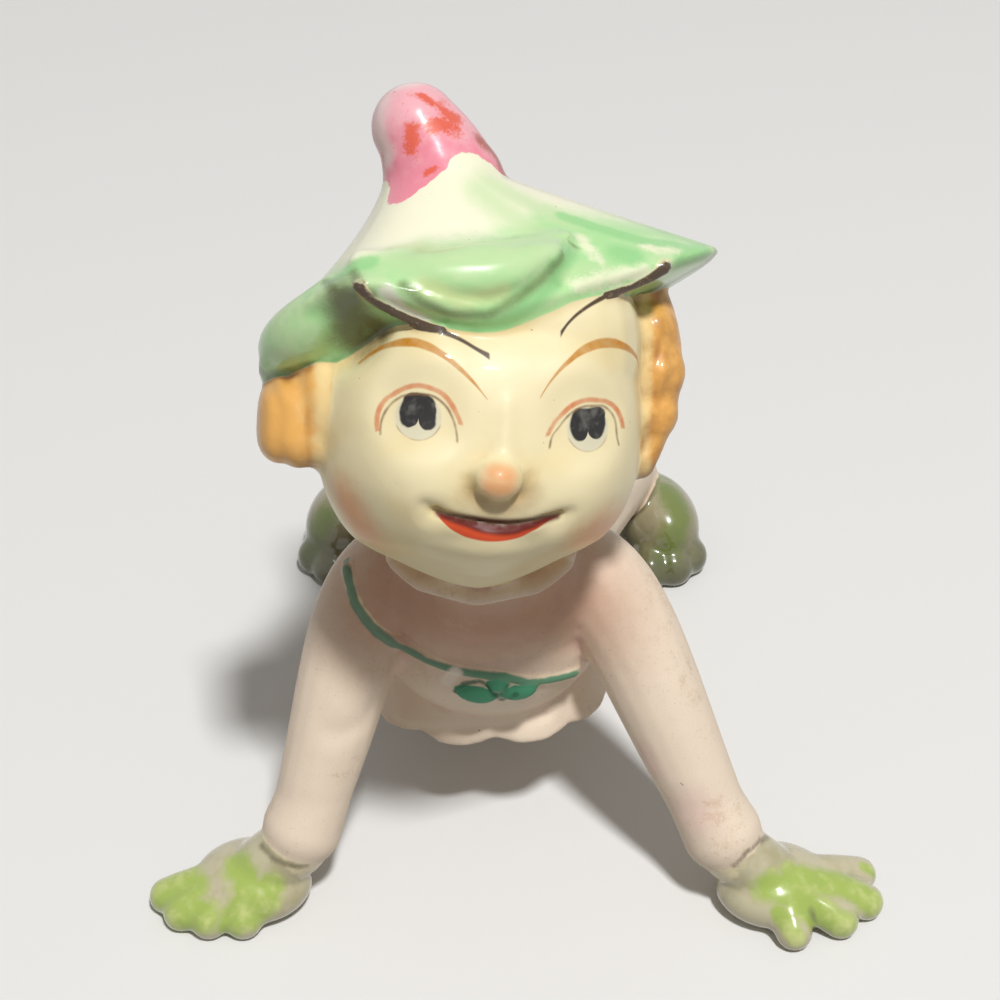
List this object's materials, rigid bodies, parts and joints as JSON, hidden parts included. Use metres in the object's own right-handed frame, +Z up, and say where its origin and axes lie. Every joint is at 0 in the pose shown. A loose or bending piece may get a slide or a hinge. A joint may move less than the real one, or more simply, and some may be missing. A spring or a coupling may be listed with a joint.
{
  "type": "elf figurine",
  "caption": "One-piece glazed ceramic elf in a leapfrog squat on splayed hands and feet, head tilted up under a soft pointed hat.",
  "frame": {"origin": "on the table, under the middle of the figurine's outline seen from above", "axes": "+Z up; the elf faces -Y; +X is on the right of a viewer who faces it, which is the elf's own left"},
  "size_m": [0.0988, 0.0998, 0.1072],
  "materials": {
    "elf_figurine": "glossy clear glaze over hand-painted colours: ivory face, green hat brim, hands and feet, pale pink suit, orange hair"
  },
  "bodies": {
    "root": {"elf_figurine": "elf_figurine"}
  },
  "joints": []
}
